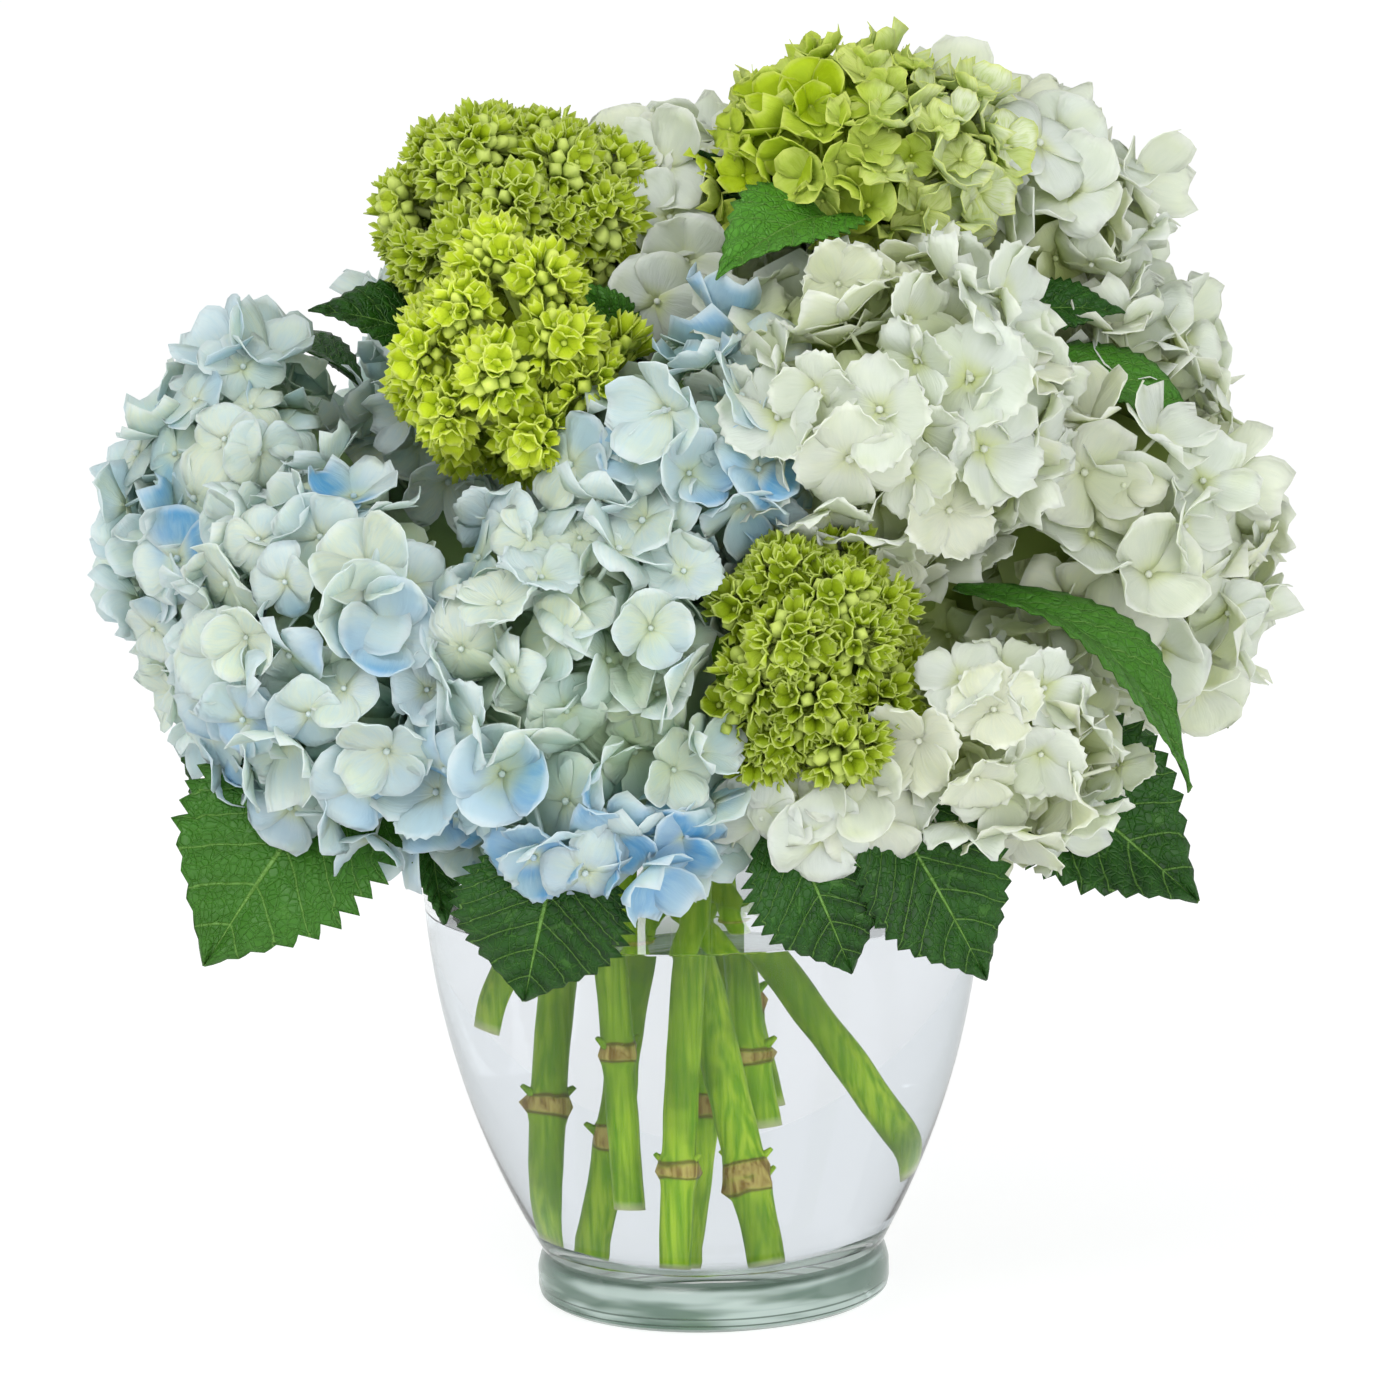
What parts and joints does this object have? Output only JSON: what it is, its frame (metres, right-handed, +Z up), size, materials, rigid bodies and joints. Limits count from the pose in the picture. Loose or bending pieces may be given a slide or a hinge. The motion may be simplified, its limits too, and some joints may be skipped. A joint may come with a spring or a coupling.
{
  "type": "cut flowers in a vase",
  "caption": "rounded bouquet of cut hydrangeas, blue, white and green, standing in water in a clear footed glass vase, as a table decoration",
  "frame": {"origin": "middle of the flat underside of the vase's foot", "axes": "+Z up; the front of the bouquet, the side with the widest view of blue and white heads, faces -Y"},
  "size_m": [0.323, 0.2584, 0.3455],
  "materials": {
    "glass": "gloss",
    "water": "gloss",
    "leaf": "satin",
    "blue_petals": "matte",
    "white_petals": "matte",
    "green_petals": "matte"
  },
  "bodies": {
    "root": {"vase": "glass", "water": "water", "stem_white_middle": "leaf", "stem_white_right": "leaf", "stem_blue_front_left": "leaf", "stem_white_top_right": "leaf", "stem_green_top_right": "leaf", "stem_green_middle": "leaf", "stem_white_top_back": "leaf", "stem_blue_left": "leaf", "stem_blue_back_left": "leaf", "stem_white_back_right": "leaf", "blue_head_front": "blue_petals", "blue_head_front_left": "blue_petals", "blue_head_left": "blue_petals", "blue_head_middle": "blue_petals", "blue_head_back_left": "blue_petals", "blue_head_back": "blue_petals", "white_head_middle": "white_petals", "white_head_right": "white_petals", "white_head_low": "white_petals", "white_head_top_right": "white_petals", "white_head_upper_right": "white_petals", "white_head_top_back": "white_petals", "white_head_back_right": "white_petals", "white_head_back": "white_petals", "white_head_small": "white_petals", "green_head_top_left": "green_petals", "green_head_middle": "green_petals", "green_head_top_right": "green_petals", "green_head_front": "green_petals"}
  },
  "joints": []
}
